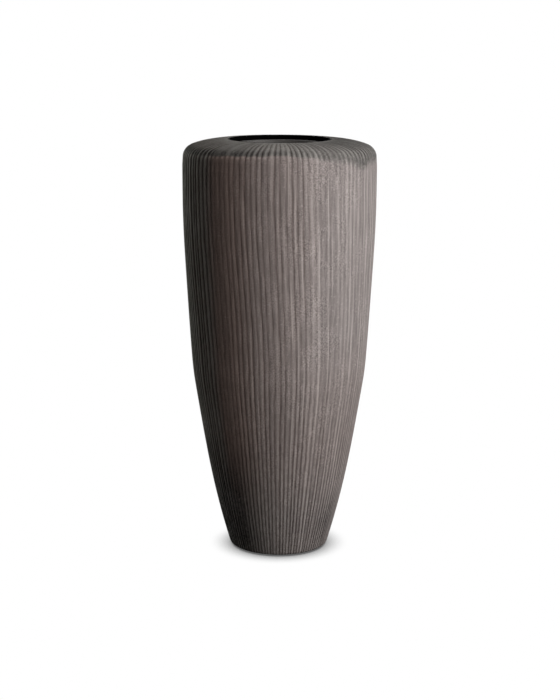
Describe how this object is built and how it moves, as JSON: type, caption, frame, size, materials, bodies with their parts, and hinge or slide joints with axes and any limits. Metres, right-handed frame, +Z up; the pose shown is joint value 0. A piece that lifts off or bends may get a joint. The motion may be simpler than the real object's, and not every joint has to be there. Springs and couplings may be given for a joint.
{
  "type": "urn vase",
  "caption": "Tall ribbed urn vase tapering to a narrow foot, with a flat shoulder, a round mouth and a water liner that lifts out.",
  "frame": {"origin": "centre of the floor under the foot, on the vase's axis", "axes": "+Z up along the vase's axis, -Y towards the picture's camera, +X to its right"},
  "size_m": [0.3, 0.3, 0.648],
  "materials": {
    "cast_stone": "matte warm grey with combed ribs",
    "throat_black": "matte black",
    "liner_grey": "matte grey",
    "felt": "dark felt"
  },
  "bodies": {
    "vase": {"ribbed_body": "cast_stone", "ribbed_shoulder": "cast_stone", "throat_ring": "throat_black", "foot_pads": "felt"},
    "liner": {"liner": "liner_grey"}
  },
  "joints": [
    {"name": "liner_lift", "type": "slide", "parent": "vase", "child": "liner", "axis": [0, 0, 1], "range_m": [0, 0.24]}
  ]
}
